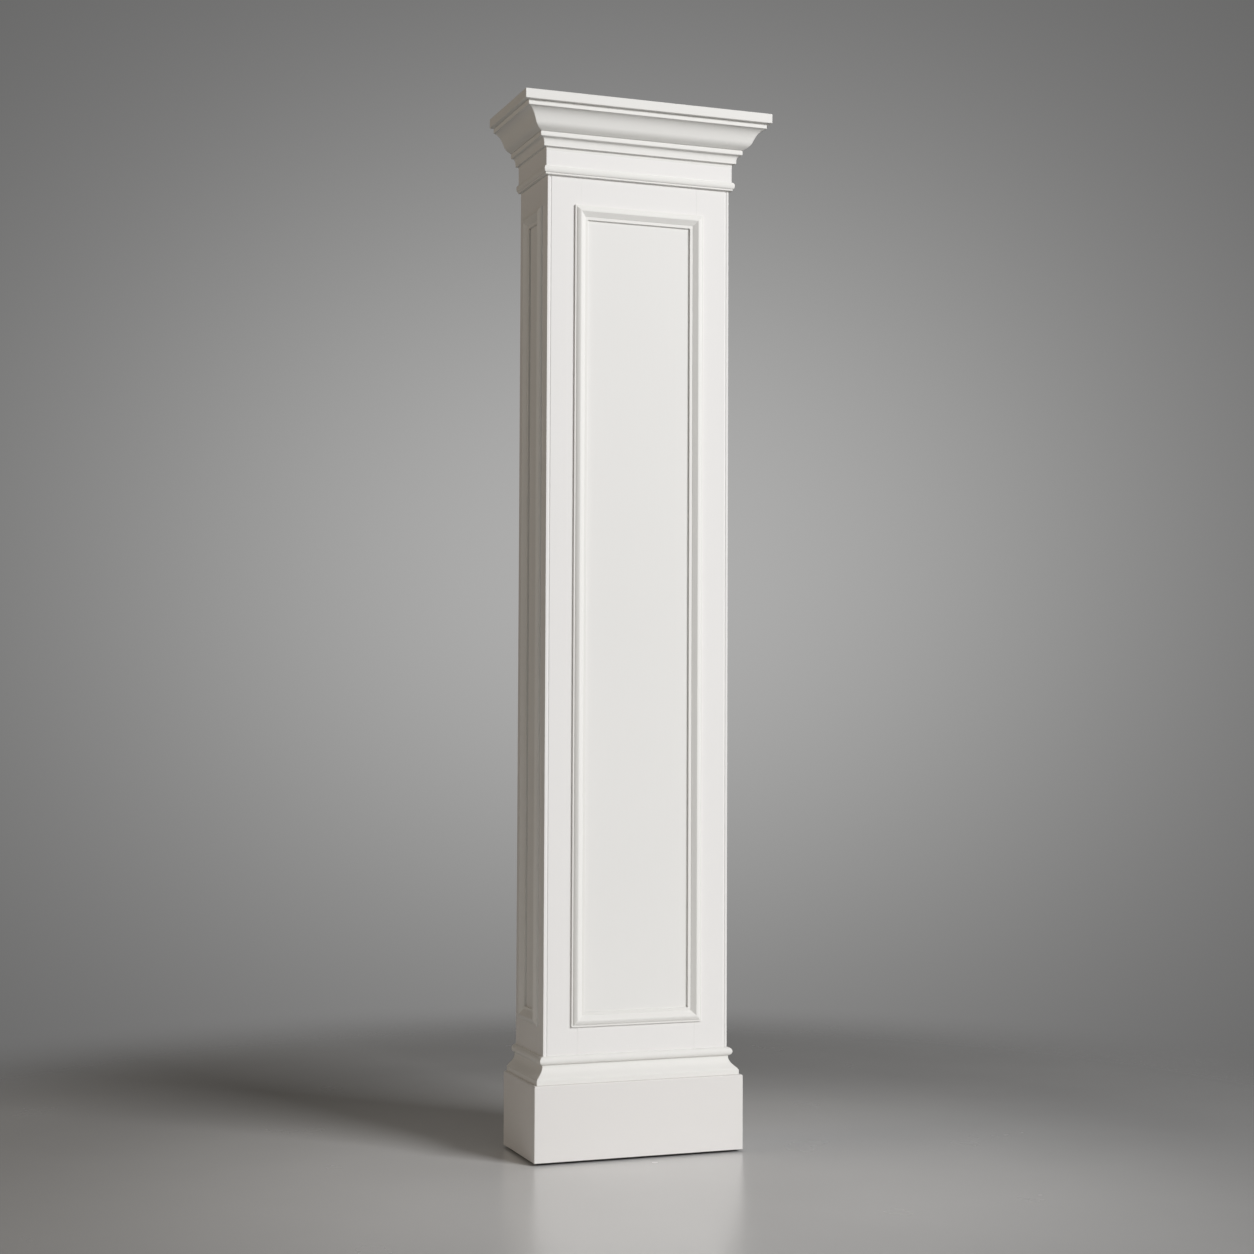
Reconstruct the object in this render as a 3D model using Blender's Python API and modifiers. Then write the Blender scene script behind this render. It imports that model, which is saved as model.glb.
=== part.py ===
"""Panelled pilaster: a three-sided painted shaft on a plinth, under a moulded capital, open at the back.

Metres, +Z up. The front faces -Y and the open back is cut off flat for a wall. The origin is on the floor,
at the middle of the whole outline's width and depth. Every length of moulding is a mitred piece of its own.
"""

import math

import bmesh
import bpy
from mathutils import Matrix, Vector

# Whole pilaster
HEIGHT = 2.100
SHAFT_WIDTH = 0.390
SHAFT_DEPTH = 0.178  # from the wall to the shaft's front face
CLEARANCE = 0.0003  # between two pieces that touch

# Frames of the shaft: stiles and rails with a rebate behind, and a flat panel let in from the back
BOARD = 0.019
FRONT_MARGIN = 0.057  # from the shaft's edge to the panel moulding, on the front
SIDE_MARGIN = 0.031  # the same on the sides
TOP_MARGIN = 0.056  # from the neck astragal down to the panel moulding
BOTTOM_MARGIN = 0.0545  # from the base moulding up to the panel moulding
PANEL_RECESS = 0.003
PANEL_THICKNESS = 0.006
REBATE = 0.008  # how far a panel reaches behind its frame
CORNER_STRIP = 0.0045  # width of the flat strip worked on the front corners
GROOVE_WIDTH = 0.0038  # the shallow groove beside that strip
GROOVE_DEPTH = 0.001

# Panel moulding, from its outer edge inwards
MOULD_EDGE_WIDTH = 0.0035
MOULD_EDGE_HEIGHT = 0.0042
MOULD_ROUND_WIDTH = 0.007
MOULD_CREST_WIDTH = 0.002
MOULD_CREST_HEIGHT = 0.0105
MOULD_SLOPE_WIDTH = 0.0095
MOULD_FOOT_WIDTH = 0.0065
MOULD_FOOT_HEIGHT = 0.0025
MOULD_STEP = 0.0006  # the small drop at each end of its curves
MOULD_LAP = 0.014  # how much of its width lies on the frame

# Plinth
PLINTH_HEIGHT = 0.154
PLINTH_BOARD = 0.025
PLINTH_ROUND = 0.0025

# Base moulding, from the plinth up, with its reach out from the shaft
BASE_FILLET_HEIGHT = 0.0095
BASE_FILLET_OUT = 0.019
BASE_SWELL_HEIGHT = 0.017
BASE_SWELL_TOP_OUT = 0.009
BASE_NOSE_STEP = 0.0012  # from the fillet in to the foot of the swell
BASE_NECK_HEIGHT = 0.010
BASE_NECK_OUT = 0.0038
BASE_TORUS_HEIGHT = 0.0165
BASE_TORUS_OUT = 0.0082

# Neck astragal, with its reach out from the shaft
NECK_FILLET_HEIGHT = 0.003
NECK_FILLET_OUT = 0.005
NECK_BEAD_HEIGHT = 0.0135
NECK_BEAD_OUT = 0.010

# Frieze
FRIEZE_HEIGHT = 0.0315  # what shows between the neck astragal and the bed mould
FRIEZE_BOARD = 0.005

# Bed mould, from its foot up, with its reach out from the frieze
BED_HOLLOW_HEIGHT = 0.0065
BED_HOLLOW_OUT = 0.0027
BED_FILLET_HEIGHT = 0.0035
BED_FILLET_OUT = 0.007
BED_COVE_HEIGHT = 0.013
BED_COVE_OUT = 0.0125
BED_BEAD_HEIGHT = 0.010
BED_BEAD_OUT = 0.017
BED_BEAD_ROUND = 0.0022

# Crown, from its foot up, with its reach out from the frieze
CROWN_FOOT_OUT = 0.0178
CROWN_ROUND_HEIGHT = 0.0144
CROWN_ROUND_OUT = 0.0326
CROWN_HOLLOW_HEIGHT = 0.0246
CROWN_HOLLOW_OUT = 0.0518
CROWN_FILLET_HEIGHT = 0.0098
CROWN_FILLET_OUT = 0.0545
CROWN_SEAT = 0.010  # height of its flat seat on the frieze
CROWN_LAND = 0.0215  # width of its flat top under the cap board

# Cap board
CAP_BOARD = 0.019
CAP_OVERHANG = 0.0085  # beyond the crown
CAP_EASING = 0.0012

# Lines and levels worked out from those sizes
MOULD_WIDTH = MOULD_EDGE_WIDTH + MOULD_ROUND_WIDTH + MOULD_CREST_WIDTH + MOULD_SLOPE_WIDTH + MOULD_FOOT_WIDTH
PANEL_DEPTH = PANEL_RECESS + CLEARANCE  # from the frame's face in to the panel's
SEAT_OUT = FRIEZE_BOARD + CLEARANCE  # where the bed mould and the crown sit on the frieze
CAP_OUT = FRIEZE_BOARD + CROWN_FILLET_OUT + CAP_OVERHANG
HALF_WIDTH = SHAFT_WIDTH / 2
BACK_Y = (SHAFT_DEPTH + CAP_OUT) / 2
FRONT_Y = BACK_Y - SHAFT_DEPTH
BASE_BOTTOM = PLINTH_HEIGHT + CLEARANCE
BASE_TOP = BASE_BOTTOM + BASE_FILLET_HEIGHT + BASE_SWELL_HEIGHT + BASE_NECK_HEIGHT + BASE_TORUS_HEIGHT
CAP_BOTTOM = HEIGHT - CAP_BOARD
SHAFT_TOP = CAP_BOTTOM - CLEARANCE
CROWN_BOTTOM = SHAFT_TOP - CROWN_FILLET_HEIGHT - CROWN_HOLLOW_HEIGHT - CROWN_ROUND_HEIGHT
BED_TOP = CROWN_BOTTOM - CLEARANCE
BED_BOTTOM = BED_TOP - BED_HOLLOW_HEIGHT - BED_FILLET_HEIGHT - BED_COVE_HEIGHT - BED_BEAD_HEIGHT
NECK_TOP = BED_BOTTOM - FRIEZE_HEIGHT
NECK_BOTTOM = NECK_TOP - NECK_BEAD_HEIGHT - NECK_FILLET_HEIGHT
MOULD_BOTTOM = BASE_TOP + BOTTOM_MARGIN
MOULD_TOP = NECK_BOTTOM - TOP_MARGIN
OPENING_BOTTOM = MOULD_BOTTOM + MOULD_LAP
OPENING_TOP = MOULD_TOP - MOULD_LAP

# Satin white paint: base colours, and one roughness
FRAME_WHITE = (0.80, 0.79, 0.765)
MOULDING_WHITE = (0.81, 0.80, 0.77)
PLINTH_WHITE = (0.77, 0.76, 0.735)
SATIN = 0.42

UP = Vector((0, 0, 1))
SMOOTH_BELOW = math.radians(35)
NAMES_OF_SIDES = {"front": ("left", "right"), "left": ("back", "front"), "right": ("front", "back")}


def collection(name):
    """A new collection in the scene."""
    made = bpy.data.collections.new(name)
    bpy.context.scene.collection.children.link(made)
    return made


def paint(name, colour):
    """A satin paint."""
    made = bpy.data.materials.new(name)
    made.use_nodes = True
    shader = made.node_tree.nodes["Principled BSDF"]
    shader.inputs["Base Color"].default_value = (*colour, 1)
    shader.inputs["Roughness"].default_value = SATIN
    shader.inputs["Metallic"].default_value = 0
    made.diffuse_color = (*colour, 1)
    return made


def placed(origin, x_axis, y_axis):
    """The matrix that puts a piece drawn in X and Y at an origin, with its length along the third axis."""
    turn = Matrix((x_axis, y_axis, x_axis.cross(y_axis))).transposed().to_4x4()
    return Matrix.Translation(origin) @ turn


def arc(centre, reach, rise, start, end, steps=6):
    """Points along part of an ellipse, its angles in degrees."""
    angles = [math.radians(start + (end - start) * i / steps) for i in range(steps + 1)]
    return [(centre[0] + reach * math.cos(a), centre[1] + rise * math.sin(a)) for a in angles]


def flowing(start, start_lean, end, end_lean, steps=6):
    """Points along a smooth curve between two points, leaving and arriving at leans from the upright."""
    a, d = Vector(start), Vector(end)
    handle = (d - a).length * 0.4
    start_lean, end_lean = math.radians(start_lean), math.radians(end_lean)
    b = a + handle * Vector((math.sin(start_lean), math.cos(start_lean)))
    c = d - handle * Vector((math.sin(end_lean), math.cos(end_lean)))
    points = []
    for i in range(steps + 1):
        t = i / steps
        u = 1 - t
        points.append(tuple(u**3 * a + 3 * u * u * t * b + 3 * u * t * t * c + t**3 * d))
    return points


def length_of(name, outline, matrix, ends, material, parts):
    """One length of board or moulding, with its outline in X and Y and its length along Z.

    Each end is (how far it lies from the origin at X = 0, how much farther for each unit of X): a second
    value of 0 is a square end, and 1 or -1 a mitre. The first of the two ends is at +Z.
    """
    curve = bpy.data.curves.new(name, "CURVE")
    curve.dimensions = "2D"
    curve.fill_mode = "BOTH"
    curve.extrude = 0.5
    spline = curve.splines.new("POLY")
    spline.points.add(len(outline) - 1)
    for point, (x, y) in zip(spline.points, outline):
        point.co = (x, y, 0, 1)
    spline.use_cyclic_u = True
    guide = bpy.data.objects.new(name, curve)
    bpy.context.scene.collection.objects.link(guide)
    graph = bpy.context.evaluated_depsgraph_get()
    mesh = bpy.data.meshes.new_from_object(guide.evaluated_get(graph))
    bpy.data.objects.remove(guide)
    shape = bmesh.new()
    shape.from_mesh(mesh)
    bmesh.ops.remove_doubles(shape, verts=shape.verts, dist=1e-6)
    (far, far_slope), (near, near_slope) = ends
    for vertex in shape.verts:
        x, z = vertex.co.x, vertex.co.z
        vertex.co.z = far + far_slope * x if z > 0 else -(near + near_slope * x)
    bmesh.ops.recalc_face_normals(shape, faces=shape.faces)
    shape.to_mesh(mesh)
    shape.free()
    mesh.shade_smooth()
    mesh.set_sharp_from_angle(angle=SMOOTH_BELOW)
    mesh.materials.clear()
    mesh.materials.append(material)
    piece = bpy.data.objects.new(name, mesh)
    piece.matrix_world = matrix
    parts.objects.link(piece)
    return piece


def box(name, low, high, target):
    """A rectangular block between two corners."""
    low, high = Vector(low), Vector(high)
    shape = bmesh.new()
    bmesh.ops.create_cube(shape, size=1)
    bmesh.ops.scale(shape, vec=high - low, verts=shape.verts)
    mesh = bpy.data.meshes.new(name)
    shape.to_mesh(mesh)
    shape.free()
    block = bpy.data.objects.new(name, mesh)
    block.location = (low + high) / 2
    target.objects.link(block)
    return block


def plinth_outline():
    """The plinth board, with its top arris rounded."""
    r = PLINTH_ROUND
    top_arris = arc((PLINTH_BOARD - r, PLINTH_HEIGHT - r), r, r, 0, 90, 3)
    return [(CLEARANCE, 0), (PLINTH_BOARD, 0), *top_arris, (CLEARANCE, PLINTH_HEIGHT)]


def base_outline():
    """The base moulding: fillet, swelling curve, neck and torus."""
    swell_bottom = BASE_BOTTOM + BASE_FILLET_HEIGHT
    neck_bottom = swell_bottom + BASE_SWELL_HEIGHT
    rise = BASE_TORUS_HEIGHT / 2
    middle = neck_bottom + BASE_NECK_HEIGHT + rise
    nose_foot = BASE_FILLET_OUT - BASE_NOSE_STEP
    return [
        (CLEARANCE, BASE_BOTTOM),
        (BASE_FILLET_OUT, BASE_BOTTOM),
        (BASE_FILLET_OUT, swell_bottom),
        *flowing((nose_foot, swell_bottom), 14, (BASE_SWELL_TOP_OUT, neck_bottom), -6),
        (BASE_NECK_OUT, neck_bottom),
        *arc((BASE_NECK_OUT, middle), BASE_TORUS_OUT - BASE_NECK_OUT, rise, -90, 0, 4),
        *arc((CLEARANCE, middle), BASE_TORUS_OUT - CLEARANCE, rise, 0, 90, 5)[1:],
    ]


def neck_outline():
    """The neck astragal: a fillet with a bead over it."""
    rise = NECK_BEAD_HEIGHT / 2
    middle = NECK_TOP - rise
    return [
        (CLEARANCE, NECK_BOTTOM),
        (NECK_FILLET_OUT, NECK_BOTTOM),
        *arc((NECK_FILLET_OUT, middle), NECK_BEAD_OUT - NECK_FILLET_OUT, rise, -90, 90, 8),
        (CLEARANCE, NECK_TOP),
    ]


def frieze_outline():
    """The frieze board, which runs up behind the bed mould and the crown to the cap board."""
    bottom = NECK_TOP + CLEARANCE
    return [(CLEARANCE, bottom), (FRIEZE_BOARD, bottom), (FRIEZE_BOARD, SHAFT_TOP), (CLEARANCE, SHAFT_TOP)]


def bed_outline():
    """The bed mould: a small hollow, a fillet, a cove and a bead."""
    fillet_bottom = BED_BOTTOM + BED_HOLLOW_HEIGHT
    cove_bottom = fillet_bottom + BED_FILLET_HEIGHT
    bead_bottom = cove_bottom + BED_COVE_HEIGHT
    foot = (SEAT_OUT + CLEARANCE, BED_BOTTOM)
    fillet_out = FRIEZE_BOARD + BED_FILLET_OUT
    cove_top = (FRIEZE_BOARD + BED_COVE_OUT, bead_bottom)
    bead_centre = FRIEZE_BOARD + BED_BEAD_OUT - BED_BEAD_ROUND
    r = BED_BEAD_ROUND
    return [
        (SEAT_OUT, BED_BOTTOM),
        *flowing(foot, 40, (FRIEZE_BOARD + BED_HOLLOW_OUT, fillet_bottom), 2, 4),
        (fillet_out, fillet_bottom),
        *flowing((fillet_out, cove_bottom), 2, cove_top, 60, 5),
        *arc((bead_centre, bead_bottom + r), r, r, -90, 0, 3),
        *arc((bead_centre, BED_TOP - r), r, r, 0, 90, 3),
        (SEAT_OUT, BED_TOP),
    ]


def crown_outline():
    """The crown: a round flowing up into a hollow, under a fillet, with its back sprung off the frieze."""
    bend_level = CROWN_BOTTOM + CROWN_ROUND_HEIGHT
    hollow_top = bend_level + CROWN_HOLLOW_HEIGHT
    foot = (FRIEZE_BOARD + CROWN_FOOT_OUT, CROWN_BOTTOM)
    bend = (FRIEZE_BOARD + CROWN_ROUND_OUT, bend_level)
    hollow_end = (FRIEZE_BOARD + CROWN_HOLLOW_OUT, hollow_top)
    fillet_out = FRIEZE_BOARD + CROWN_FILLET_OUT
    return [
        (SEAT_OUT, CROWN_BOTTOM),
        *flowing(foot, 66, bend, 17, 6),
        *flowing(bend, 17, hollow_end, 76, 8)[1:],
        (fillet_out, hollow_top),
        (fillet_out, SHAFT_TOP),
        (fillet_out - CROWN_LAND, SHAFT_TOP),
        (SEAT_OUT, CROWN_BOTTOM + CROWN_SEAT),
    ]


def panel_mould_outline():
    """The panel moulding, from its outer edge inwards and out from the frame's face."""
    crest_start = MOULD_EDGE_WIDTH + MOULD_ROUND_WIDTH
    slope_start = crest_start + MOULD_CREST_WIDTH
    slope_end = slope_start + MOULD_SLOPE_WIDTH
    round_foot = MOULD_EDGE_HEIGHT + MOULD_STEP
    lap = MOULD_LAP + CLEARANCE
    on_panel = CLEARANCE - PANEL_DEPTH
    return [
        (0, CLEARANCE),
        (0, MOULD_EDGE_HEIGHT),
        (MOULD_EDGE_WIDTH, MOULD_EDGE_HEIGHT),
        *arc((crest_start, round_foot), -MOULD_ROUND_WIDTH, MOULD_CREST_HEIGHT - round_foot, 0, 90, 6),
        (slope_start, MOULD_CREST_HEIGHT),
        (slope_end, MOULD_FOOT_HEIGHT + MOULD_STEP),
        (slope_end, MOULD_FOOT_HEIGHT),
        (MOULD_WIDTH, MOULD_FOOT_HEIGHT),
        (MOULD_WIDTH, on_panel),
        (lap, on_panel),
        (lap, CLEARANCE),
    ]


def three_sides(name, outline, material, parts):
    """A mitred run round the front and both sides, cut off flat at the wall."""
    half_gap = CLEARANCE / math.sqrt(2)
    front = placed((0, FRONT_Y, 0), Vector((0, -1, 0)), UP)
    left = placed((-HALF_WIDTH, FRONT_Y, 0), Vector((-1, 0, 0)), UP)
    right = placed((HALF_WIDTH, FRONT_Y, 0), Vector((1, 0, 0)), UP)
    front_end = (HALF_WIDTH - half_gap, 1)
    mitre = (-half_gap, 1)
    wall = (SHAFT_DEPTH, 0)
    length_of(f"{name}_front", outline, front, (front_end, front_end), material, parts)
    length_of(f"{name}_left", outline, left, (wall, mitre), material, parts)
    length_of(f"{name}_right", outline, right, (mitre, wall), material, parts)


class Face:
    """One face of the shaft: its middle, its own directions, and where its frame starts and ends."""

    def __init__(self, name, origin, out, width, margin, edges):
        self.name = name
        self.sides = NAMES_OF_SIDES[name]
        self.origin = Vector(origin)
        self.out = Vector(out)
        self.along = UP.cross(self.out)
        self.mould_half = width / 2 - margin
        self.opening_half = self.mould_half - MOULD_LAP
        self.edges = edges

    def point(self, along, depth, level):
        """The world point at a place on this face, at a depth behind it."""
        return self.origin + along * self.along - depth * self.out + level * UP

    def block(self, name, low, high, target):
        """A block between two (along, depth, level) corners on this face."""
        corners = [sorted(pair) for pair in zip(self.point(*low), self.point(*high))]
        return box(name, [c[0] for c in corners], [c[1] for c in corners], target)


def shaft_faces():
    """The front, and the two sides, whose frames run from the back of the front frame to the wall."""
    middle_y = (FRONT_Y + BACK_Y) / 2
    half_depth = SHAFT_DEPTH / 2
    seam = half_depth - BOARD - CLEARANCE
    front_edges = (-HALF_WIDTH, HALF_WIDTH)
    return (
        Face("front", (0, FRONT_Y, 0), (0, -1, 0), SHAFT_WIDTH, FRONT_MARGIN, front_edges),
        Face("left", (-HALF_WIDTH, middle_y, 0), (-1, 0, 0), SHAFT_DEPTH, SIDE_MARGIN, (-half_depth, seam)),
        Face("right", (HALF_WIDTH, middle_y, 0), (1, 0, 0), SHAFT_DEPTH, SIDE_MARGIN, (-seam, half_depth)),
    )


def frame_outline(width, grooved=False):
    """A stile or rail, from its outer edge at X = 0 in to the opening, with its face at Y = 0."""
    outer = [(0, BOARD), (0, 0)]
    if grooved:
        half = GROOVE_WIDTH / 2
        outer += arc((CORNER_STRIP + half, 0), half, GROOVE_DEPTH, 180, 0, 6)
    return [*outer, (width, 0), (width, PANEL_RECESS), (width - REBATE, PANEL_RECESS), (width - REBATE, BOARD)]


def add_stile(face, name, edge, grooved, material, parts):
    """One upright of a frame, from the floor to the cap board."""
    inwards = 1 if edge < 0 else -1
    outline = [(x * inwards, y) for x, y in frame_outline(abs(edge) - face.opening_half, grooved)]
    matrix = placed(face.point(edge, 0, 0), face.along, -face.out)
    length_of(name, outline, matrix, ((SHAFT_TOP, 0), (0, 0)), material, parts)


def add_rail(face, name, edge, height, seats, material, parts):
    """One cross rail, notched at both ends to fit round the lips of the stiles' rebates."""
    outwards = UP if edge > 0 else -UP
    outline = frame_outline(height)
    matrix = placed(face.point(0, 0, edge), -outwards, -face.out)
    half = face.opening_half + REBATE - CLEARANCE
    rail = length_of(name, outline, matrix, ((half, 0), (half, 0)), material, parts)
    for seat in seats:
        notch = rail.modifiers.new("Notch", "BOOLEAN")
        notch.operation = "DIFFERENCE"
        notch.solver = "EXACT"
        notch.object = seat


def add_frame(face, material, parts, cutters):
    """The stiles and rails of one face."""
    for side, edge in zip(face.sides, face.edges):
        add_stile(face, f"{face.name}_frame_{side}_stile", edge, face.name == "front", material, parts)
    seats = []
    for side, sign in zip(face.sides, (-1, 1)):
        inner = sign * (face.opening_half - CLEARANCE)
        outer = sign * (face.opening_half + REBATE)
        low = (inner, -BOARD, -BOARD)
        seat = face.block(f"{face.name}_{side}_notch", low, (outer, PANEL_DEPTH, HEIGHT), cutters)
        seat.hide_render = True
        seat.display_type = "WIRE"
        seats.append(seat)
    top_height = SHAFT_TOP - OPENING_TOP
    add_rail(face, f"{face.name}_frame_top_rail", SHAFT_TOP, top_height, seats, material, parts)
    add_rail(face, f"{face.name}_frame_bottom_rail", 0, OPENING_BOTTOM, seats, material, parts)


def add_panel(face, material, parts):
    """The flat panel, lying in the rebates of its frame."""
    half = face.opening_half + REBATE - CLEARANCE
    low = (-half, PANEL_DEPTH, OPENING_BOTTOM - REBATE + CLEARANCE)
    high = (half, PANEL_DEPTH + PANEL_THICKNESS, OPENING_TOP + REBATE - CLEARANCE)
    face.block(f"{face.name}_panel", low, high, parts).data.materials.append(material)


def add_panel_mould(face, material, parts):
    """The four mitred lengths of moulding round one panel."""
    outline = panel_mould_outline()
    half_gap = CLEARANCE / math.sqrt(2)
    middle = (MOULD_BOTTOM + MOULD_TOP) / 2
    tall = ((MOULD_TOP - MOULD_BOTTOM) / 2 - half_gap, -1)
    wide = (face.mould_half - half_gap, -1)
    lengths = (
        (face.sides[0], face.point(-face.mould_half, 0, middle), face.along, tall),
        (face.sides[1], face.point(face.mould_half, 0, middle), -face.along, tall),
        ("top", face.point(0, 0, MOULD_TOP), -UP, wide),
        ("bottom", face.point(0, 0, MOULD_BOTTOM), UP, wide),
    )
    for side, origin, inwards, end in lengths:
        matrix = placed(origin, inwards, face.out)
        length_of(f"{face.name}_panel_mould_{side}", outline, matrix, (end, end), material, parts)


def add_cap_board(material, parts):
    """The board on top, with its arrises eased."""
    half = HALF_WIDTH + CAP_OUT
    board = box("cap_board", (-half, FRONT_Y - CAP_OUT, CAP_BOTTOM), (half, BACK_Y, HEIGHT), parts)
    board.data.materials.append(material)
    easing = board.modifiers.new("Eased arrises", "BEVEL")
    easing.width = CAP_EASING
    easing.segments = 2


def build():
    """The whole pilaster."""
    for left_over in list(bpy.data.objects):
        bpy.data.objects.remove(left_over)
    parts = collection("Panelled pilaster")
    cutters = collection("Cutters")
    frame_paint = paint("Frame paint", FRAME_WHITE)
    moulding_paint = paint("Moulding paint", MOULDING_WHITE)
    plinth_paint = paint("Plinth paint", PLINTH_WHITE)
    three_sides("plinth", plinth_outline(), plinth_paint, parts)
    three_sides("base_mould", base_outline(), moulding_paint, parts)
    for face in shaft_faces():
        add_frame(face, frame_paint, parts, cutters)
        add_panel(face, frame_paint, parts)
        add_panel_mould(face, moulding_paint, parts)
    three_sides("neck_astragal", neck_outline(), moulding_paint, parts)
    three_sides("frieze", frieze_outline(), frame_paint, parts)
    three_sides("bed_mould", bed_outline(), moulding_paint, parts)
    three_sides("crown", crown_outline(), moulding_paint, parts)
    add_cap_board(moulding_paint, parts)


build()
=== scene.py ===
# %% [markdown]
# # A panelled pilaster in satin white paint
#
# A pilaster is half a column: a shallow box that stands against a wall and carries a capital. This one is
# joiner's work. Three framed panels make the shaft, and mitred lengths of moulding make everything else.
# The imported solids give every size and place. This file adds what a painter leaves: eased arrises,
# joints filled with paint, brush strokes, and a bare back.

import math

import bmesh
import bpy
from mathutils import Matrix, Vector


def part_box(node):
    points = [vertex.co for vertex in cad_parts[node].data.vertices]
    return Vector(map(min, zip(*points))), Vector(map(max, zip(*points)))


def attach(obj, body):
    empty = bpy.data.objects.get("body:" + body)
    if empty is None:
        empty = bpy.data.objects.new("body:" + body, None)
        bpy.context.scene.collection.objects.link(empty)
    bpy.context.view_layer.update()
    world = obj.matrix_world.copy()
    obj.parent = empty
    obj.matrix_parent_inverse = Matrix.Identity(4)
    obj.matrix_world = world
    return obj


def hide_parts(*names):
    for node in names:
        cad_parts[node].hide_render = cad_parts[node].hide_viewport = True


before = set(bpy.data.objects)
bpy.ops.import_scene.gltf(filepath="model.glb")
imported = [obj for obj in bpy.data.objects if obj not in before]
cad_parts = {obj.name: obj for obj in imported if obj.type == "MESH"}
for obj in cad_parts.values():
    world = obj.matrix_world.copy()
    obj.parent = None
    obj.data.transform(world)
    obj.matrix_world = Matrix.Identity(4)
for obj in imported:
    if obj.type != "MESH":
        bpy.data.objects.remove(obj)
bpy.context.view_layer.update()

# %% [markdown]
# ## The sizes that the pieces share
#
# Everything hangs on the shaft's face, the floor and the wall. The box of the cap board gives the wall
# and the top, and the front stiles give the face and the width, so these are read and not typed again.

# %% Read the main lines
low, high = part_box("cap_board")
BACK_Y, HEIGHT, CAP_BOTTOM = high[1], high[2], low[2]
CAP_HALF, CAP_FRONT = high[0], low[1]
low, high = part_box("front_frame_right_stile")
HALF_WIDTH, FRONT_Y, BOARD = high[0], low[1], high[1] - low[1]
CLEARANCE = 0.0003
SHAFT_DEPTH = BACK_Y - FRONT_Y
print(f"shaft {2000 * HALF_WIDTH:.0f} x {1000 * SHAFT_DEPTH:.0f} mm, {1000 * HEIGHT:.0f} mm tall")

# %% [markdown]
# ## Curves that a moulding plane cuts
#
# A moulding is one outline carried along a length. Outlines are made of straight fillets, parts of an
# ellipse, and curves that flow from one lean to another. They are written as a joiner names them, with
# the reach out from the face first and the level second.

# %% Arcs and flowing curves
HANDLE = 0.4


def arc(centre, reach, rise, start, end, steps=14):
    """Points along part of an ellipse, its angles in degrees."""
    angles = [math.radians(start + (end - start) * i / steps) for i in range(steps + 1)]
    return [(centre[0] + reach * math.cos(a), centre[1] + rise * math.sin(a)) for a in angles]


def flowing(start, start_lean, end, end_lean, steps=16):
    """Points along a smooth curve that leaves and arrives at leans from the upright, in degrees."""
    a, d = Vector(start), Vector(end)
    handle = (d - a).length * HANDLE
    start_lean, end_lean = math.radians(start_lean), math.radians(end_lean)
    b = a + handle * Vector((math.sin(start_lean), math.cos(start_lean)))
    c = d - handle * Vector((math.sin(end_lean), math.cos(end_lean)))
    points = []
    for i in range(steps + 1):
        t = i / steps
        u = 1 - t
        points.append(tuple(u**3 * a + 3 * u * u * t * b + 3 * u * t * t * c + t**3 * d))
    return points


# %% [markdown]
# ## Arrises that catch the light
#
# No painted edge is sharp. Glasspaper takes off the arris, and paint rounds it again and gathers in the
# inner corners. Each corner of an outline is swept with a small curve, and each flat gets a point close
# to its two ends, so that smooth shading turns only round the corner and leaves the flat truly flat.

# %% Ease the corners of an outline
ARRIS = 0.0009
GATHER = 0.0005
HOLD = 0.0003
LEAST_TURN = math.radians(16)
MOST_OF_A_FLAT = 0.42
TURN_PER_STEP = 15


def eased(outline, arris=ARRIS, gather=GATHER):
    """The outline with its outer corners rounded and its inner corners filled a little."""
    points = [Vector(p) for p in outline]
    count = len(points)
    area = sum(points[i - 1].cross(points[i]) for i in range(count))
    corners = []
    for i, here in enumerate(points):
        before, after = points[i - 1] - here, points[(i + 1) % count] - here
        turn = math.pi - before.angle(after, math.pi)
        if turn < LEAST_TURN:
            corners.append([here])
            continue
        outer = (-before).cross(after) * area > 0
        cut = (arris if outer else gather) * math.tan(turn / 2)
        cut = min(cut, MOST_OF_A_FLAT * before.length, MOST_OF_A_FLAT * after.length)
        a, b = here + before.normalized() * cut, here + after.normalized() * cut
        steps = max(2, round(math.degrees(turn) / TURN_PER_STEP))
        fractions = [j / steps for j in range(steps + 1)]
        corners.append([(1 - t) ** 2 * a + 2 * t * (1 - t) * here + t * t * b for t in fractions])
    result = []
    for i, corner in enumerate(corners):
        result += corner
        end, start = corner[-1], corners[(i + 1) % count][0]
        if (start - end).length > 4 * HOLD:
            step = (start - end).normalized() * HOLD
            result += [end + step, start - step]
    return [tuple(p) for p in result]


# %% [markdown]
# ## From outline to length
#
# A loft joins copies of the outline, ring by ring, and closes both ends. Lofting suits mouldings better
# than a curve with a bevel, because each end can lie exactly in its mitre, with no gap between lengths.

# %% Loft a piece through its rings
SHARP_ABOVE = math.radians(50)
made = []


def loft(name, rings, finish):
    """A closed piece through rings of points, which replaces the solid of the same name."""
    shape = bmesh.new()
    rows = [[shape.verts.new(p) for p in ring] for ring in rings]
    for a, b in zip(rows, rows[1:]):
        for i in range(len(a)):
            shape.faces.new((a[i - 1], a[i], b[i], b[i - 1]))
    shape.faces.new(rows[0])
    shape.faces.new(rows[-1])
    bmesh.ops.recalc_face_normals(shape, faces=shape.faces)
    mesh = bpy.data.meshes.new(name)
    shape.to_mesh(mesh)
    shape.free()
    mesh.shade_smooth()
    mesh.set_sharp_from_angle(angle=SHARP_ABOVE)
    piece = bpy.data.objects.new(f"painted_{name}", mesh)
    bpy.context.scene.collection.objects.link(piece)
    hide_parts(name)
    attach(piece, "root")
    slot, material = finish
    mesh.materials.append(material)
    made.append(piece)
    return piece


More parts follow.
